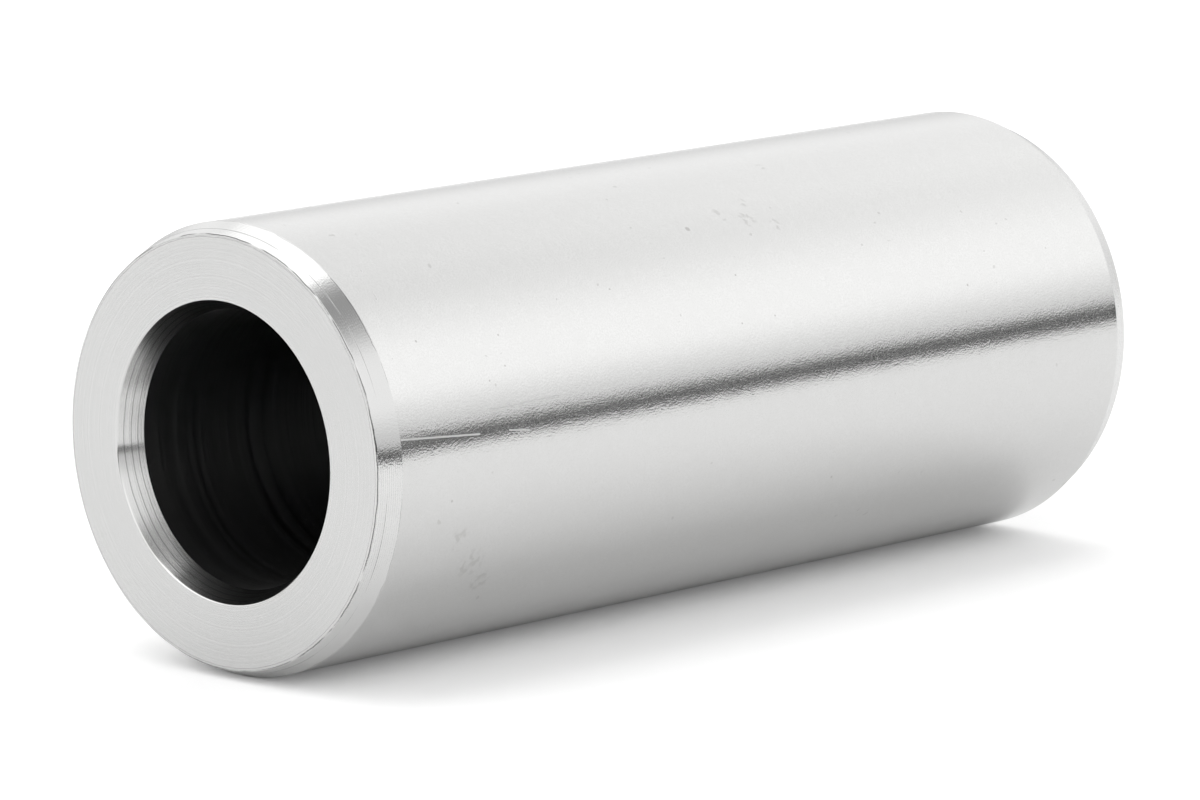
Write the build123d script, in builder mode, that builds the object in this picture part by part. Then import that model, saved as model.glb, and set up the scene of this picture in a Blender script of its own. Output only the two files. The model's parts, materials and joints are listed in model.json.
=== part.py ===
from build123d import *
import os

# Spacer sleeve: a thick-walled steel tube with lead-in chamfers inside and out at both ends.
#
# The sleeve stands on one end. +Z runs along the bore, and the origin is the centre of the
# lower end face. All sizes are in millimetres.

# Body
length = 65.0  # overall, end face to end face
outer_diameter = 26.0  # ground outside
bore_diameter = 16.0  # through bore

# Outer lead-in chamfer, a long shallow cone at each end
outer_chamfer_length = 1.42  # along the axis
outer_chamfer_depth = 0.57  # radially

# Inner lead-in chamfer at each mouth of the bore
inner_chamfer_length = 1.56  # along the axis
inner_chamfer_depth = 0.68  # radially

# Deburred corners where the end faces meet the chamfers
outer_edge_round = 0.20
inner_edge_round = 0.15

outer_radius = outer_diameter / 2
bore_radius = bore_diameter / 2
face_outer_radius = outer_radius - outer_chamfer_depth
face_inner_radius = bore_radius + inner_chamfer_depth


def corners_of(part, radius):
    """The part's circular edges of one radius."""
    circles = part.edges().filter_by(GeomType.CIRCLE)
    return circles.filter_by(lambda edge: abs(edge.radius - radius) < 1e-6)


os.makedirs("parts", exist_ok=True)

# Half the wall's section, revolved about the bore's axis.
with BuildPart() as spacer_sleeve:
    with BuildSketch(Plane.XZ):
        with BuildLine():
            Polyline(
                (face_inner_radius, 0),
                (face_outer_radius, 0),
                (outer_radius, outer_chamfer_length),
                (outer_radius, length - outer_chamfer_length),
                (face_outer_radius, length),
                (face_inner_radius, length),
                (bore_radius, length - inner_chamfer_length),
                (bore_radius, inner_chamfer_length),
                close=True,
            )
        make_face()
    revolve(axis=Axis.Z)

    # Each end face blends into its two chamfers with a small deburring round.
    fillet(corners_of(spacer_sleeve, face_outer_radius), radius=outer_edge_round)
    fillet(corners_of(spacer_sleeve, face_inner_radius), radius=inner_edge_round)

spacer_sleeve.part.label = "spacer_sleeve"
spacer_sleeve.part.color = Color(0.58, 0.58, 0.575)
export_step(spacer_sleeve.part, "parts/spacer_sleeve.step")
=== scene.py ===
"""Spacer sleeve: looks.

The sleeve stands on one end in its own frame, +Z along the bore. The picture shows it lying on
a pale table, so the table is an upright plane that touches the sleeve's side, and the camera is
turned to match. Lengths are in metres.
"""
import json
import math

import bpy
from mathutils import Matrix, Vector


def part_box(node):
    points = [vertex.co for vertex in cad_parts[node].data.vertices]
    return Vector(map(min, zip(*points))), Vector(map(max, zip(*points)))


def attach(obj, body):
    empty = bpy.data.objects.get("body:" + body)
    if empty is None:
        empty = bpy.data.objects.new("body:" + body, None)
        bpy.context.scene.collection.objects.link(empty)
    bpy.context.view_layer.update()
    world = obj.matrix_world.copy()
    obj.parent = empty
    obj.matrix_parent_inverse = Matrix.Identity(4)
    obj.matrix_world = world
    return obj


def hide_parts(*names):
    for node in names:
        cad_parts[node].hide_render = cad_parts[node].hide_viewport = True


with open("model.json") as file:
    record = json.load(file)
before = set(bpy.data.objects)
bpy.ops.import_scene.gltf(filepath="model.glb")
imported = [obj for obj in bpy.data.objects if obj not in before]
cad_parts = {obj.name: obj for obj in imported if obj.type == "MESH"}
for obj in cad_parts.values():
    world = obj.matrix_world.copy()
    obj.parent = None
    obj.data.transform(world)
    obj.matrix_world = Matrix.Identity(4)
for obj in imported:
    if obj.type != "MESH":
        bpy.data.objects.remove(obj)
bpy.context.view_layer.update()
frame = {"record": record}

MM = 0.001

# ---------------------------------------------------------------- sizes
mounts = {mount["name"]: mount for mount in frame["record"]["mounts"]}
low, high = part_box("spacer_sleeve")
LENGTH = high[2] - low[2]
OUTER_R = mounts["outside"]["dims"]["r_mm"] * MM
BORE_R = mounts["bore"]["dims"]["r_mm"] * MM
OUTER_CHAMFER_LENGTH = (LENGTH - mounts["outside"]["dims"]["length_mm"] * MM) / 2
INNER_CHAMFER_LENGTH = (LENGTH - mounts["bore"]["dims"]["length_mm"] * MM) / 2
OUTER_CHAMFER_DEPTH = 0.57 * MM
INNER_CHAMFER_DEPTH = 0.68 * MM
FACE_OUTER_R = OUTER_R - OUTER_CHAMFER_DEPTH
FACE_INNER_R = BORE_R + INNER_CHAMFER_DEPTH
OUTER_EDGE_ROUND = 0.20 * MM
INNER_EDGE_ROUND = 0.15 * MM
CONE_END_ROUND = 0.05 * MM   # where a cone runs out into the barrel or the bore
SUPPORT = 0.04 * MM          # how far beyond an arc the next ring of points lies

# Turned detail
OUTER_FEED = 0.124 * MM      # ridge spacing on the outer chamfer
OUTER_RIDGE = 0.0085 * MM    # ridge height there
OUTER_SAMPLES = 5            # points on each ridge
INNER_FEED = 0.09 * MM       # the same three on the inner chamfer
INNER_RIDGE = 0.0006 * MM
INNER_SAMPLES = 3
SEGMENTS = 288               # facets round the sleeve

# ---------------------------------------------------------------- the scene's own directions
TABLE_AZIMUTH = math.radians(45)
ALONG = Vector((0, 0, 1))                                             # near end to far end
UP = Vector((math.sin(TABLE_AZIMUTH), -math.cos(TABLE_AZIMUTH), 0))   # out of the table
SIDE = ALONG.cross(UP)                                                # towards the camera's side


def place(along, side, up):
    """A point given by its distances along the sleeve's axis, to the side and up from it."""
    return ALONG * along + SIDE * side + UP * up


# ---------------------------------------------------------------- node helpers
class Nodes:
    """Short ways to add and join shader nodes in one tree."""

    def __init__(self, tree):
        self.tree = tree
        tree.nodes.clear()

    def add(self, kind, **settings):
        node = self.tree.nodes.new(kind)
        for name, value in settings.items():
            setattr(node, name, value)
        return node

    def join(self, source, target):
        self.tree.links.new(source, target)

    def feed(self, socket, value):
        """Give a socket a fixed value or another node's output."""
        if isinstance(value, bpy.types.NodeSocket):
            self.join(value, socket)
        else:
            socket.default_value = value

    def math(self, operation, first, second=0.0, clamp=False):
        node = self.add("ShaderNodeMath", operation=operation, use_clamp=clamp)
        self.feed(node.inputs[0], first)
        self.feed(node.inputs[1], second)
        return node.outputs[0]

    def times(self, *factors):
        """The product of several values."""
        result = factors[0]
        for factor in factors[1:]:
            result = self.math("MULTIPLY", result, factor)
        return result

    def most(self, masks):
        """The largest of several masks."""
        result = masks[0]
        for mask in masks[1:]:
            result = self.math("MAXIMUM", result, mask)
        return result

    def dimmed(self, level, mask, share):
        """The level, less a share of itself where the mask is 1."""
        return self.times(level, self.math("SUBTRACT", 1.0, self.times(mask, share)))

    def vector_math(self, operation, first, second):
        node = self.add("ShaderNodeVectorMath", operation=operation)
        self.feed(node.inputs[0], first)
        self.feed(node.inputs[1], second)
        return node

    def dot(self, vector, direction):
        return self.vector_math("DOT_PRODUCT", vector, direction).outputs["Value"]

    def distance(self, first, second):
        return self.vector_math("DISTANCE", first, second).outputs["Value"]

    def coordinates(self, kind):
        return self.add("ShaderNodeTexCoord").outputs[kind]

    def from_axis(self, coords):
        """The distance from the bore's axis."""
        split = self.add("ShaderNodeSeparateXYZ")
        self.join(coords, split.inputs[0])
        x, y = split.outputs[:2]
        return self.math("SQRT", self.math("ADD", self.times(x, x), self.times(y, y)))

    def ramp(self, value, low_in, high_in, low_out=0.0, high_out=1.0):
        """A smooth step from low_out to high_out as value goes from low_in to high_in."""
        node = self.add("ShaderNodeMapRange", interpolation_type="SMOOTHSTEP", clamp=True)
        for socket, number in zip(node.inputs[:5], (value, low_in, high_in, low_out, high_out)):
            self.feed(socket, number)
        return node.outputs[0]

    def near(self, value, centre, inner, outer):
        """1 where value lies within inner of centre, fading to 0 at outer."""
        gap = self.math("ABSOLUTE", self.math("SUBTRACT", value, centre))
        return self.ramp(gap, inner, outer, 1.0, 0.0)

    def noise(self, vector=None, scale=1.0, detail=2.0, roughness=0.5, w=None):
        """Noise over a vector or, where only w is given, along that one value."""
        node = self.add("ShaderNodeTexNoise", noise_dimensions="1D" if vector is None else "3D")
        node.inputs["Scale"].default_value = scale
        node.inputs["Detail"].default_value = detail
        node.inputs["Roughness"].default_value = roughness
        if vector is not None:
            self.join(vector, node.inputs["Vector"])
        if w is not None:
            self.feed(node.inputs["W"], w)
        return node.outputs["Fac"]

    def wavering(self, radius, coords, width, scale, detail):
        """The radius with noise added, so that a ring drawn from it wavers over width."""
        waver = self.math("SUBTRACT", self.noise(coords, scale=scale, detail=detail), 0.5)
        return self.math("ADD", radius, self.times(waver, width))

    def darkening(self, *marks):
        """The darkest of several marks, each a mask and how dark its mark is, from 0 to 1."""
        return self.most([self.times(mask, darkness) for mask, darkness in marks])

    def tint(self, mask, base, marked):
        """A colour that goes from base to marked with the mask."""
        node = self.add("ShaderNodeMix", data_type="RGBA")
        self.feed(node.inputs[0], mask)
        self.feed(node.inputs[6], base)
        self.feed(node.inputs[7], marked)
        return node.outputs[2]

    def bump(self, height, distance, normal=None):
        node = self.add("ShaderNodeBump")
        node.inputs["Strength"].default_value = 1.0
        node.inputs["Distance"].default_value = distance
        self.join(height, node.inputs["Height"])
        if normal is not None:
            self.join(normal, node.inputs["Normal"])
        return node.outputs["Normal"]


# ---------------------------------------------------------------- marks on the barrel
# A spot is its distance from the near end in mm, its degrees round and its width in mm.
DOTS = ((30, 52, 0.42), (31.4, 36, 0.17), (30.4, 23, 0.15), (33.3, 23.5, 0.15), (21, 38, 0.16),
        (4.6, 33, 0.2), (10.9, 31, 0.17), (10.6, 23, 0.16), (9.1, 20, 0.16), (50.5, 22.5, 0.2),
        (5.4, -8, 0.2), (38.3, -23, 0.2))
STAINS = ((33.4, 55, 1.3), (35.2, 52, 1.5), (37, 49, 1.1), (36, 58, 0.9), (40.8, 72, 0.9),
          (6.6, -19, 1.8), (8.2, -27, 2.4), (9.7, -34, 1.8))
# A scratch is its two ends, each a distance and degrees round, and its width.
SCRATCHES = (((1.5, 9.6), (7.6, 7.5), 0.12), ((10.0, 7.1), (11.6, 6.2), 0.10),
             ((3.9, 56), (3.4, 46), 0.07), ((8.7, 12.9), (14.3, 13.4), 0.08))


def on_barrel(along, degrees):
    """A point on the barrel; degrees go round from the camera's side, with 90 at the top."""
    angle = math.radians(degrees)
    return place(along * MM, OUTER_R * math.cos(angle), OUTER_R * math.sin(angle))


def spot(nodes, coords, along, degrees, across):
    """A mask over one small spot, across mm wide."""
    gap = nodes.distance(coords, on_barrel(along, degrees))
    return nodes.ramp(gap, across * 0.25 * MM, across * 0.55 * MM, 1.0, 0.0)


def streak(nodes, coords, start, end, across):
    """A mask over a straight streak between two points of the barrel."""
    first = on_barrel(*start)
    run = on_barrel(*end) - first
    offset = nodes.vector_math("SUBTRACT", coords, first).outputs[0]
    share = nodes.math("MULTIPLY", nodes.dot(offset, run), 1 / run.length_squared, clamp=True)
    foot = nodes.add("ShaderNodeVectorMath", operation="SCALE")
    foot.inputs[0].default_value = run
    nodes.join(share, foot.inputs["Scale"])
    gap = nodes.distance(offset, foot.outputs[0])
    return nodes.ramp(gap, across * 0.2 * MM, across * 0.6 * MM, 1.0, 0.0)


# ---------------------------------------------------------------- steel materials
STEEL = (0.62, 0.62, 0.615, 1.0)
STAINED = (0.40, 0.395, 0.385, 1.0)
# a dark colour for painted shade on the chamfers, faces and inner chamfers, and for the faint tone of the
# face's rings
PAINTED_SHADE_AND_TONE = (0.16, 0.16, 0.16, 1.0)
# the bore's steel colour, darkened: painted shade inside the bore
BORE_PAINTED_SHADE = (0.11, 0.11, 0.11, 1.0)
GROUND_ROUGHNESS = 0.15
SCRATCHED_ROUGHNESS = 0.5
ACROSS_THE_MARKS = 0.25      # a quarter turn, so that the gloss spreads across the tool marks


def steel_material(name, colour, roughness, anisotropic):
    """A bare steel whose tool marks run round the bore's axis."""
    material = bpy.data.materials.new(name)
    material.use_nodes = True
    nodes = Nodes(material.node_tree)
    shader = nodes.add("ShaderNodeBsdfPrincipled")
    shader.inputs["Base Color"].default_value = colour
    shader.inputs["Metallic"].default_value = 1.0
    shader.inputs["Roughness"].default_value = roughness
    shader.inputs["Anisotropic"].default_value = anisotropic
    shader.inputs["Anisotropic Rotation"].default_value = ACROSS_THE_MARKS
    tangent = nodes.add("ShaderNodeTangent", direction_type="RADIAL", axis="Z")
    nodes.join(tangent.outputs[0], shader.inputs["Tangent"])
    output = nodes.add("ShaderNodeOutputMaterial")
    nodes.join(shader.outputs[0], output.inputs["Surface"])
    return material, nodes, shader


def ground_steel():
    """The outside: ground, with a fine grain, a slight orange peel and the wear of handling."""
    material, nodes, shader = steel_material("ground_steel", STEEL, GROUND_ROUGHNESS, anisotropic=0.5)
    coords = nodes.coordinates("Object")
    grain = nodes.noise(coords, scale=9000, detail=2)
    peel = nodes.noise(coords, scale=1100, detail=3)
    normal = nodes.bump(peel, distance=0.006 * MM)
    normal = nodes.bump(grain, distance=0.006 * MM, normal=normal)
    nodes.join(normal, shader.inputs["Normal"])

    dots = nodes.most([spot(nodes, coords, *mark) for mark in DOTS])
    stains = nodes.most([spot(nodes, coords, *mark) for mark in STAINS])
    stains = nodes.times(stains, nodes.ramp(nodes.noise(coords, scale=2600, detail=3), 0.42, 0.62))
    specks = nodes.ramp(nodes.noise(coords, scale=1500, detail=1), 0.765, 0.80)
    dark = nodes.darkening((dots, 0.8), (stains, 0.45), (specks, 0.45),
                           (nodes.ramp(peel, 0.35, 0.65), 0.08),
                           (nodes.ramp(grain, 0.35, 0.65), 0.14))
    nodes.join(nodes.tint(dark, STEEL, STAINED), shader.inputs["Base Color"])

    scratches = nodes.most([streak(nodes, coords, *mark) for mark in SCRATCHES])
    roughness = nodes.ramp(scratches, 0.0, 1.0, GROUND_ROUGHNESS, SCRATCHED_ROUGHNESS)
    nodes.join(roughness, shader.inputs["Roughness"])
    return material


def chamfer_steel():
    """The outer chamfers: turned, with one deeper tool line, cut by the bump and darkened as painted
    shade, and a ragged dark line of painted shade at each edge, the one by the face also cut by the bump.
    """
    material, nodes, shader = steel_material("turned_chamfer", STEEL, roughness=0.12, anisotropic=0.5)
    coords = nodes.coordinates("Object")
    radius = nodes.from_axis(coords)
    reach = nodes.wavering(radius, coords, 0.10 * MM, scale=900, detail=3)
    broken = nodes.ramp(nodes.noise(coords, scale=260, detail=4), 0.44, 0.60)
    frayed = nodes.ramp(nodes.noise(coords, scale=420, detail=4), 0.38, 0.52)
    # the scored line is cut by the bump and also darkened in colour as painted shade
    scored_cut_and_shade = nodes.near(radius, FACE_OUTER_R + 0.22 * MM, 0.002 * MM, 0.011 * MM)
    scored_cut_and_shade = nodes.times(scored_cut_and_shade, broken)
    # a ragged dark line along the edge to the barrel: painted shade, in colour only
    edge_shade = nodes.near(reach, OUTER_R - 0.012 * MM, 0.002 * MM, 0.012 * MM)
    edge_shade = nodes.times(edge_shade, broken)
    # a frayed dark line on the rounded edge to the face, cut by the bump and darkened as painted shade
    lip_cut_and_shade = nodes.near(reach, FACE_OUTER_R - 0.02 * MM, 0.014 * MM, 0.038 * MM)
    lip_cut_and_shade = nodes.times(lip_cut_and_shade, frayed)

    raised = nodes.math("SUBTRACT", 1.0, nodes.most([scored_cut_and_shade, lip_cut_and_shade]))
    normal = nodes.bump(raised, distance=0.008 * MM)
    grain = nodes.noise(coords, scale=8500, detail=2)
    normal = nodes.bump(grain, distance=0.005 * MM, normal=normal)
    nodes.join(normal, shader.inputs["Normal"])
    # painted shade: the scored line and both edge lines are darkened in colour
    dark = nodes.darkening((scored_cut_and_shade, 0.7), (edge_shade, 0.55), (lip_cut_and_shade, 0.95))
    nodes.join(nodes.tint(dark, STEEL, PAINTED_SHADE_AND_TONE), shader.inputs["Base Color"])
    return material


def face_steel():
    """The end faces: finely faced in rings, with a dark hairline painted by the outer edge as the shade
    of a burr.
    """
    material, nodes, shader = steel_material("faced_steel", STEEL, roughness=0.27, anisotropic=0.75)
    coords = nodes.coordinates("Object")
    radius = nodes.from_axis(coords)
    rings = nodes.noise(scale=9000, detail=4, roughness=0.7, w=radius)
    grain = nodes.noise(coords, scale=11000, detail=2)
    reach = nodes.wavering(radius, coords, 0.12 * MM, scale=1000, detail=3)
    # a dark hairline by the outer edge: painted shade of a burr, in colour only
    burr_shade = nodes.near(reach, FACE_OUTER_R - 0.17 * MM, 0.006 * MM, 0.024 * MM)

    normal = nodes.bump(rings, distance=0.0028 * MM)
    normal = nodes.bump(grain, distance=0.009 * MM, normal=normal)
    nodes.join(normal, shader.inputs["Normal"])
    # the hairline is painted shade; the faint darkening with the rings is the faced surface's own tone
    dark = nodes.most([nodes.times(burr_shade, 0.5), nodes.ramp(rings, 0.38, 0.66, 0.09, 0.0)])
    nodes.join(nodes.tint(dark, STEEL, PAINTED_SHADE_AND_TONE), shader.inputs["Base Color"])
    return material


def mouth_steel():
    """The inner chamfers: turned, with three dark lines painted as the shade of deeper grooves; the
    grooves themselves are not cut.
    """
    material, nodes, shader = steel_material("turned_mouth", STEEL, roughness=0.16, anisotropic=0.5)
    coords = nodes.coordinates("Object")
    radius = nodes.from_axis(coords)
    reach = nodes.wavering(radius, coords, 0.05 * MM, scale=500, detail=2)
    # three dark lines: painted shade where deeper grooves lie; nothing is cut there
    groove_shade = nodes.most([nodes.near(reach, FACE_INNER_R - INNER_CHAMFER_DEPTH * share,
                                     0.004 * MM, 0.022 * MM) for share in (0.28, 0.54, 0.78)])
    rings = nodes.noise(scale=14000, detail=3, w=radius)
    nodes.join(nodes.bump(rings, distance=0.003 * MM), shader.inputs["Normal"])
    nodes.join(nodes.tint(nodes.times(groove_shade, 0.55), STEEL, PAINTED_SHADE_AND_TONE), shader.inputs["Base Color"])
    return material


def bore_steel():
    """The bore: dull, with faint rings; its steel colour is darkened as painted shade inside the bore."""
    material, nodes, shader = steel_material("bore_with_painted_shade", BORE_PAINTED_SHADE, roughness=0.38, anisotropic=0.4)
    height = nodes.dot(nodes.coordinates("Object"), ALONG)
    rings = nodes.noise(scale=1400, detail=4, roughness=0.7, w=height)
    nodes.join(nodes.bump(rings, distance=0.02 * MM), shader.inputs["Normal"])
    nodes.join(nodes.ramp(rings, 0.35, 0.7, 0.44, 0.32), shader.inputs["Roughness"])
    return material


# ---------------------------------------------------------------- the sleeve's mesh
def line(start, end, steps):
    """Points from start towards end, without end itself."""
    return [(start[0] + (end[0] - start[0]) * k / steps, start[1] + (end[1] - start[1]) * k / steps)
            for k in range(steps)]


def ridged_line(start, end, feed, height, samples):
    """A turned line: shallow scallops cut into it, with a peak every feed."""
    run = math.hypot(end[0] - start[0], end[1] - start[1])
    ridges = max(1, round(run / feed))
    normal = ((end[1] - start[1]) / run, -(end[0] - start[0]) / run)
    points = []
    for k in range(ridges * samples):
        share = k / (ridges * samples)
        rise = height * ((2 * (k % samples) / samples - 1) ** 2 - 1)
        points.append((start[0] + (end[0] - start[0]) * share + normal[0] * rise,
                       start[1] + (end[1] - start[1]) * share + normal[1] * rise))
    return points


def rounded(before, corner, after, radius, steps):
    """An arc of the given radius in place of a corner."""
    a = Vector(before) - Vector(corner)
    b = Vector(after) - Vector(corner)
    half = a.angle(b) / 2
    a.normalize()
    b.normalize()
    reach = radius / math.tan(half)
    centre = Vector(corner) + (a + b).normalized() * (radius / math.sin(half))
    start = Vector(corner) + a * reach - centre
    end = Vector(corner) + b * reach - centre
    turn = start.angle_signed(end)
    arc = []
    for k in range(steps + 1):
        angle = -turn * k / steps
        arc.append((centre.x + start.x * math.cos(angle) - start.y * math.sin(angle),
                    centre.y + start.x * math.sin(angle) + start.y * math.cos(angle)))
    return arc


FACE, CHAMFER, GROUND, MOUTH, BORE = range(5)


def end_profile():
    """Half the wall's section at the near end, from mid-bore round to mid-barrel, with materials."""
    mid_bore = (BORE_R, LENGTH / 2)
    bore_corner = (BORE_R, INNER_CHAMFER_LENGTH)
    inner_corner = (FACE_INNER_R, 0.0)
    outer_corner = (FACE_OUTER_R, 0.0)
    barrel_corner = (OUTER_R, OUTER_CHAMFER_LENGTH)
    mid_barrel = (OUTER_R, LENGTH / 2)
    arc_bore = rounded(mid_bore, bore_corner, inner_corner, CONE_END_ROUND, steps=2)
    arc_inner = rounded(bore_corner, inner_corner, outer_corner, INNER_EDGE_ROUND, steps=6)
    arc_outer = rounded(inner_corner, outer_corner, barrel_corner, OUTER_EDGE_ROUND, steps=8)
    arc_barrel = rounded(outer_corner, barrel_corner, mid_barrel, CONE_END_ROUND, steps=2)
    bore_end = (BORE_R, arc_bore[0][1] + SUPPORT)
    face_start = (arc_inner[-1][0] + SUPPORT, 0.0)
    face_end = (arc_outer[0][0] - SUPPORT, 0.0)
    barrel_start = (OUTER_R, arc_barrel[-1][1] + SUPPORT)
    inner_cone = ridged_line(arc_bore[-1], arc_inner[0], INNER_FEED, INNER_RIDGE, INNER_SAMPLES)
    outer_cone = ridged_line(arc_outer[-1], arc_barrel[0], OUTER_FEED, OUTER_RIDGE, OUTER_SAMPLES)
    stretches = ((line(mid_bore, bore_end, steps=4), BORE), ([bore_end], BORE),
                 (arc_bore, MOUTH), (inner_cone[1:], MOUTH), (arc_inner[:-1], MOUTH),
                 (arc_inner[-1:], FACE), (line(face_start, face_end, steps=6), FACE), ([face_end], FACE),
                 (arc_outer[:-1], CHAMFER), (outer_cone, CHAMFER),
                 (arc_barrel, GROUND), (line(barrel_start, mid_barrel, steps=4), GROUND))
    return [(r, z, material) for points, material in stretches for r, z in points]


def build_sleeve():
    near = end_profile()
    far = [(r, LENGTH - z, material) for r, z, material in reversed(near)]
    # the point in the middle of the barrel belongs to neither half, the one in the bore to both
    profile = near + [(OUTER_R, LENGTH / 2, GROUND)] + far[:-1]
    # a face takes the material of the ring it starts at; on the far half that is the next ring's
    rings = len(profile)
    materials = [profile[k][2] if k < len(near) else profile[(k + 1) % rings][2] for k in range(rings)]
    vertices = []
    for r, z, _ in profile:
        for s in range(SEGMENTS):
            angle = 2 * math.pi * s / SEGMENTS
            vertices.append((r * math.cos(angle), r * math.sin(angle), z))
    faces = []
    for k in range(rings):
        n = (k + 1) % rings
        for s in range(SEGMENTS):
            t = (s + 1) % SEGMENTS
            faces.append((k * SEGMENTS + s, k * SEGMENTS + t, n * SEGMENTS + t, n * SEGMENTS + s))
    mesh = bpy.data.meshes.new("sleeve")
    mesh.from_pydata(vertices, [], faces)
    for material in (face_steel(), chamfer_steel(), ground_steel(), mouth_steel(), bore_steel()):
        mesh.materials.append(material)
    for k, polygon in enumerate(mesh.polygons):
        polygon.material_index = materials[k // SEGMENTS]
        polygon.use_smooth = True
    mesh.update()
    sleeve = bpy.data.objects.new("sleeve", mesh)
    bpy.context.scene.collection.objects.link(sleeve)
    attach(sleeve, "root")
    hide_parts("spacer_sleeve")


build_sleeve()

# ---------------------------------------------------------------- table and floor
REACH = 3.0
TABLE_EDGE = 280 * MM        # the table ends this far out on the camera's side
FLOOR_DROP = 0.2 * MM        # the floor lies this far under the standing sleeve
PALE = (0.93, 0.93, 0.93, 1)
GLOW = 0.12                  # added for camera rays only, to whiten the background


def stage_plane(name, corners, seen_by_all):
    """A pale sheet seen from its front only. Where seen_by_all is false it is there for the eye alone."""
    mesh = bpy.data.meshes.new(name)
    mesh.from_pydata(corners, [], [(0, 1, 2, 3)])
    material = bpy.data.materials.new(name)
    material.use_nodes = True
    nodes = Nodes(material.node_tree)
    path = nodes.add("ShaderNodeLightPath")
    diffuse = nodes.add("ShaderNodeBsdfDiffuse")
    diffuse.inputs["Color"].default_value = PALE
    glow = nodes.add("ShaderNodeEmission")
    nodes.feed(glow.inputs["Strength"], nodes.times(path.outputs["Is Camera Ray"], GLOW))
    lit = nodes.add("ShaderNodeAddShader")
    nodes.join(diffuse.outputs[0], lit.inputs[0])
    nodes.join(glow.outputs[0], lit.inputs[1])
    clear = nodes.add("ShaderNodeBsdfTransparent")
    mix = nodes.add("ShaderNodeMixShader")
    hidden = nodes.add("ShaderNodeNewGeometry").outputs["Backfacing"]
    if not seen_by_all:
        unseen = nodes.math("SUBTRACT", 1.0, path.outputs["Is Camera Ray"])
        hidden = nodes.math("MAXIMUM", hidden, unseen)
    nodes.join(hidden, mix.inputs[0])
    nodes.join(lit.outputs[0], mix.inputs[1])
    nodes.join(clear.outputs[0], mix.inputs[2])
    output = nodes.add("ShaderNodeOutputMaterial")
    nodes.join(mix.outputs[0], output.inputs["Surface"])
    mesh.materials.append(material)
    plane = bpy.data.objects.new(name, mesh)
    bpy.context.scene.collection.objects.link(plane)


stage_plane("table", [place(REACH, TABLE_EDGE, -OUTER_R), place(REACH, -REACH, -OUTER_R),
                      place(-REACH, -REACH, -OUTER_R), place(-REACH, TABLE_EDGE, -OUTER_R)], True)
stage_plane("floor", [Vector((-REACH, -REACH, -FLOOR_DROP)), Vector((REACH, -REACH, -FLOOR_DROP)),
                      Vector((REACH, REACH, -FLOOR_DROP)), Vector((-REACH, REACH, -FLOOR_DROP))], False)

# ---------------------------------------------------------------- light: a white tent
LOW_LEVEL, HIGH_LEVEL = 1.25, 1.85     # near the table's level and above it
OVERHEAD_SHARE = 0.70                  # of that level, high up
CAMERA_SIDE_SHARE = 0.86               # of it, far round to the camera's side
BACK_SHARE = 0.84                      # of it, away from the camera
GAP_DARKNESS = 0.55
SLOT_DARKNESS = 0.9


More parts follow.
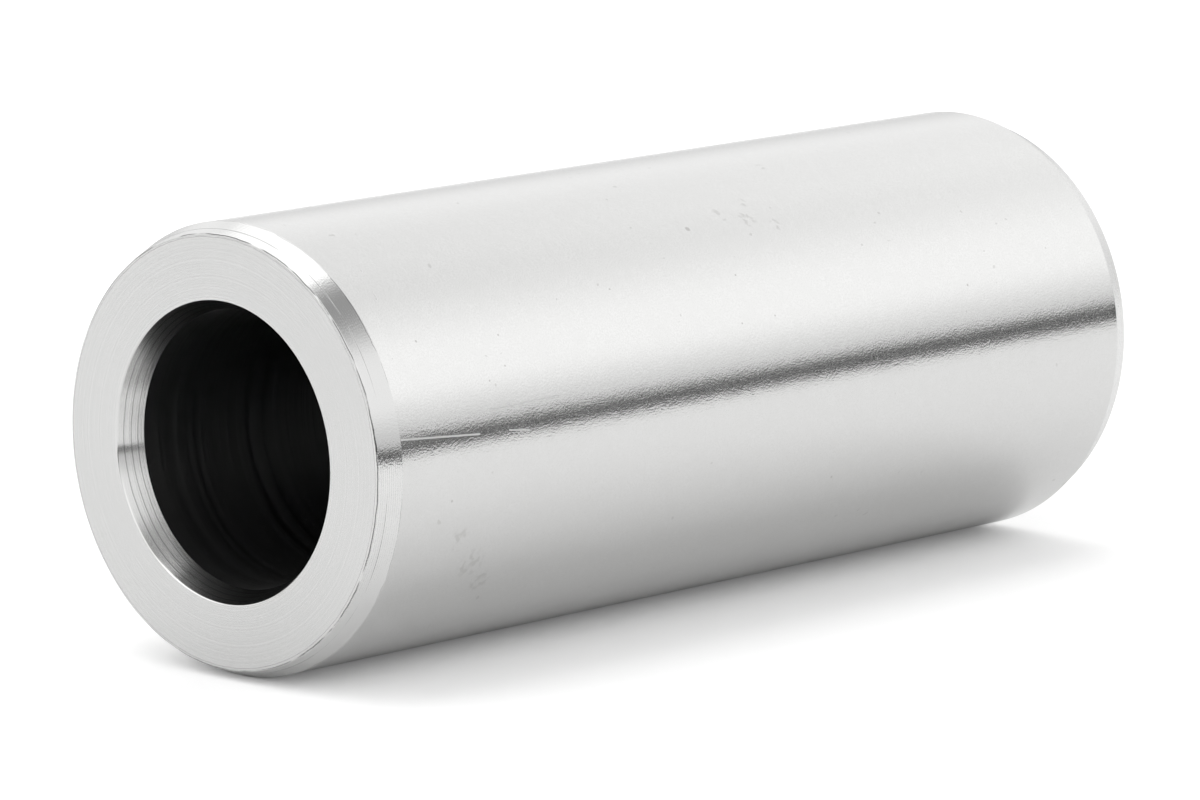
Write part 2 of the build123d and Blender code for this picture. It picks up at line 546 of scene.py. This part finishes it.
def light_tent():
    """Soft surroundings, brighter above, with the tent's dark opening on the camera's side.

    Elevations are in degrees above the table; side, up and along are parts of a unit direction.
    Camera rays see plain white in place of the tent.
    """
    world = bpy.data.worlds.new("tent")
    bpy.context.scene.world = world
    world.use_nodes = True
    nodes = Nodes(world.node_tree)
    direction = nodes.coordinates("Generated")
    along = nodes.dot(direction, ALONG)
    side = nodes.dot(direction, SIDE)
    up = nodes.dot(direction, UP)
    elevation = nodes.times(nodes.math("ARCSINE", up), 180 / math.pi)

    level = nodes.times(nodes.ramp(elevation, 4, 22, LOW_LEVEL, HIGH_LEVEL),
                        nodes.ramp(elevation, 30, 56, 1.0, OVERHEAD_SHARE),
                        nodes.ramp(side, 0.66, 0.85, 1.0, CAMERA_SIDE_SHARE),
                        nodes.ramp(side, -0.1, -0.5, 1.0, BACK_SHARE))
    # the gap between the front panel and the lamp above
    gap = nodes.times(nodes.ramp(elevation, 44, 66), nodes.ramp(side, 0.04, 0.26))
    level = nodes.dimmed(level, gap, GAP_DARKNESS)
    # the lamp above and a little behind, which adds a level of 1
    lamp = nodes.times(nodes.ramp(up, 0.62, 0.72), nodes.ramp(side, 0.12, 0.04),
                       nodes.ramp(along, 0.62, 0.45))
    level = nodes.math("ADD", level, lamp)
    # the dark slot between the table's edge and the tent, its top edge falling 6 degrees per unit of side
    rise = nodes.math("ADD", elevation, nodes.times(nodes.math("SUBTRACT", side, 0.68), 6.0))
    slot = nodes.times(nodes.ramp(rise, 4.8, 3.2), nodes.ramp(elevation, -9.0, -8.0),
                       nodes.ramp(side, 0.15, 0.4))
    level = nodes.dimmed(level, slot, SLOT_DARKNESS)

    tent = nodes.add("ShaderNodeBackground")
    nodes.join(level, tent.inputs["Strength"])
    white = nodes.add("ShaderNodeBackground")
    white.inputs["Color"].default_value = (1, 1, 1, 1)
    white.inputs["Strength"].default_value = 1.0
    mix = nodes.add("ShaderNodeMixShader")
    nodes.join(nodes.add("ShaderNodeLightPath").outputs["Is Camera Ray"], mix.inputs[0])
    nodes.join(tent.outputs[0], mix.inputs[1])
    nodes.join(white.outputs[0], mix.inputs[2])
    output = nodes.add("ShaderNodeOutputWorld")
    nodes.join(mix.outputs[0], output.inputs["Surface"])


light_tent()

# ---------------------------------------------------------------- camera
AIM = place(31.06 * MM, 0.0, -0.99 * MM)
DISTANCE = 422.83 * MM
PITCH = math.radians(10.10)     # down on to the table
YAW = math.radians(43.30)       # from the sleeve's axis
LENS = 213.6                    # mm, as Blender takes it
SENSOR = 36                     # mm
forward = place(math.cos(YAW) * math.cos(PITCH), -math.sin(YAW) * math.cos(PITCH), -math.sin(PITCH))
right = forward.cross(UP).normalized()
upright = right.cross(forward)
camera_data = bpy.data.cameras.new("camera")
camera_data.lens = LENS
camera_data.sensor_width = SENSOR
camera_data.clip_start = 0.01
camera_data.clip_end = 20
camera = bpy.data.objects.new("camera", camera_data)
camera.matrix_world = (Matrix.Translation(AIM - forward * DISTANCE)
                       @ Matrix((right, upright, -forward)).transposed().to_4x4())
bpy.context.scene.collection.objects.link(camera)
bpy.context.scene.camera = camera
bpy.context.scene.view_settings.view_transform = "Standard"
